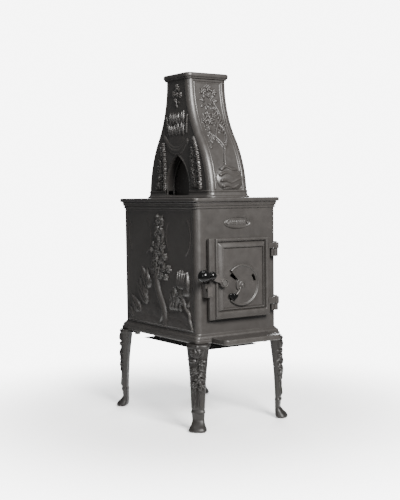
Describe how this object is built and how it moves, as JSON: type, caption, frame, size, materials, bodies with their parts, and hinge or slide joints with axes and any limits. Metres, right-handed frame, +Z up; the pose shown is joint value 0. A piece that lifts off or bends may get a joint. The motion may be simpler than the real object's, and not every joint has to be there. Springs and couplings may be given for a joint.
{
  "type": "chiminea",
  "caption": "Small cast-iron wood stove on cabriole legs, with a bell-shaped arched heat tower, hinged door, lift latch and turning air plate.",
  "frame": {"origin": "on the floor, under the middle of the whole object's box", "axes": "+Z up, -Y towards the door side, +X towards the door's hinges"},
  "size_m": [0.3456, 0.544, 1.04],
  "materials": {
    "cast_iron": "matt black stove polish over cast iron, with a soft sheen on edges",
    "cast_iron_inner": "raw cast iron, smoked and slightly rusty",
    "sheet_steel": "sheet steel in matt black heat-proof paint",
    "steel": "blackened steel fasteners, worn brighter on their heads",
    "seal_rope": "woven glass-fibre rope, sooted",
    "black_knob": "glossy black heat-proof resin"
  },
  "bodies": {
    "stove": {"base_plate": "cast_iron", "hearth_plate": "cast_iron_inner", "heat_shield": "sheet_steel", "shield_spacers": "steel", "shield_screws": "steel", "leg_front_left": "cast_iron", "leg_front_right": "cast_iron", "leg_rear_left": "cast_iron", "leg_rear_right": "cast_iron", "leg_bolts": "steel", "front_plate": "cast_iron", "left_side_plate": "cast_iron", "right_side_plate": "cast_iron", "back_plate": "cast_iron", "top_plate": "cast_iron", "tie_rods": "steel", "tie_rod_nuts": "steel", "liner_left": "cast_iron_inner", "liner_right": "cast_iron_inner", "smoke_divider": "cast_iron_inner", "baffle_plate": "cast_iron_inner", "log_retainer": "cast_iron_inner", "badge": "cast_iron", "badge_rivets": "steel", "latch_keeper": "cast_iron", "keeper_screws": "steel", "hinge_pins": "steel", "flue_collar": "cast_iron", "flue_collar_screws": "steel", "tower_base": "cast_iron", "tower_front_panel": "cast_iron", "tower_rear_panel": "cast_iron", "tower_left_panel": "cast_iron", "tower_right_panel": "cast_iron", "niche_left": "cast_iron", "niche_right": "cast_iron", "tower_divider": "cast_iron_inner", "tower_cap": "cast_iron", "tower_rods": "steel", "tower_rod_nuts": "steel"},
    "door": {"door_panel": "cast_iron", "door_seal": "seal_rope", "door_shield": "cast_iron_inner", "door_shield_screws": "steel", "air_pivot_bolt": "steel", "latch_pivot_bolt": "steel"},
    "latch": {"latch_lever": "cast_iron", "handle_collar": "black_knob", "handle_ball": "black_knob"},
    "air_regulator": {"air_plate": "cast_iron", "air_lever": "steel", "air_knob": "black_knob"}
  },
  "joints": [
    {"name": "door_hinge", "type": "hinge", "parent": "stove", "child": "door", "pos_m": [0.128, -0.207, 0.43], "axis": [0, 0, 1], "range_deg": [0, 120]},
    {"name": "latch_lift", "type": "hinge", "parent": "door", "child": "latch", "pos_m": [-0.07, -0.217, 0.424], "axis": [0, 1, 0], "range_deg": [-32, 8]},
    {"name": "air_turn", "type": "hinge", "parent": "door", "child": "air_regulator", "pos_m": [0.002, -0.207, 0.4135], "axis": [0, -1, 0], "range_deg": [-15, 45]}
  ]
}
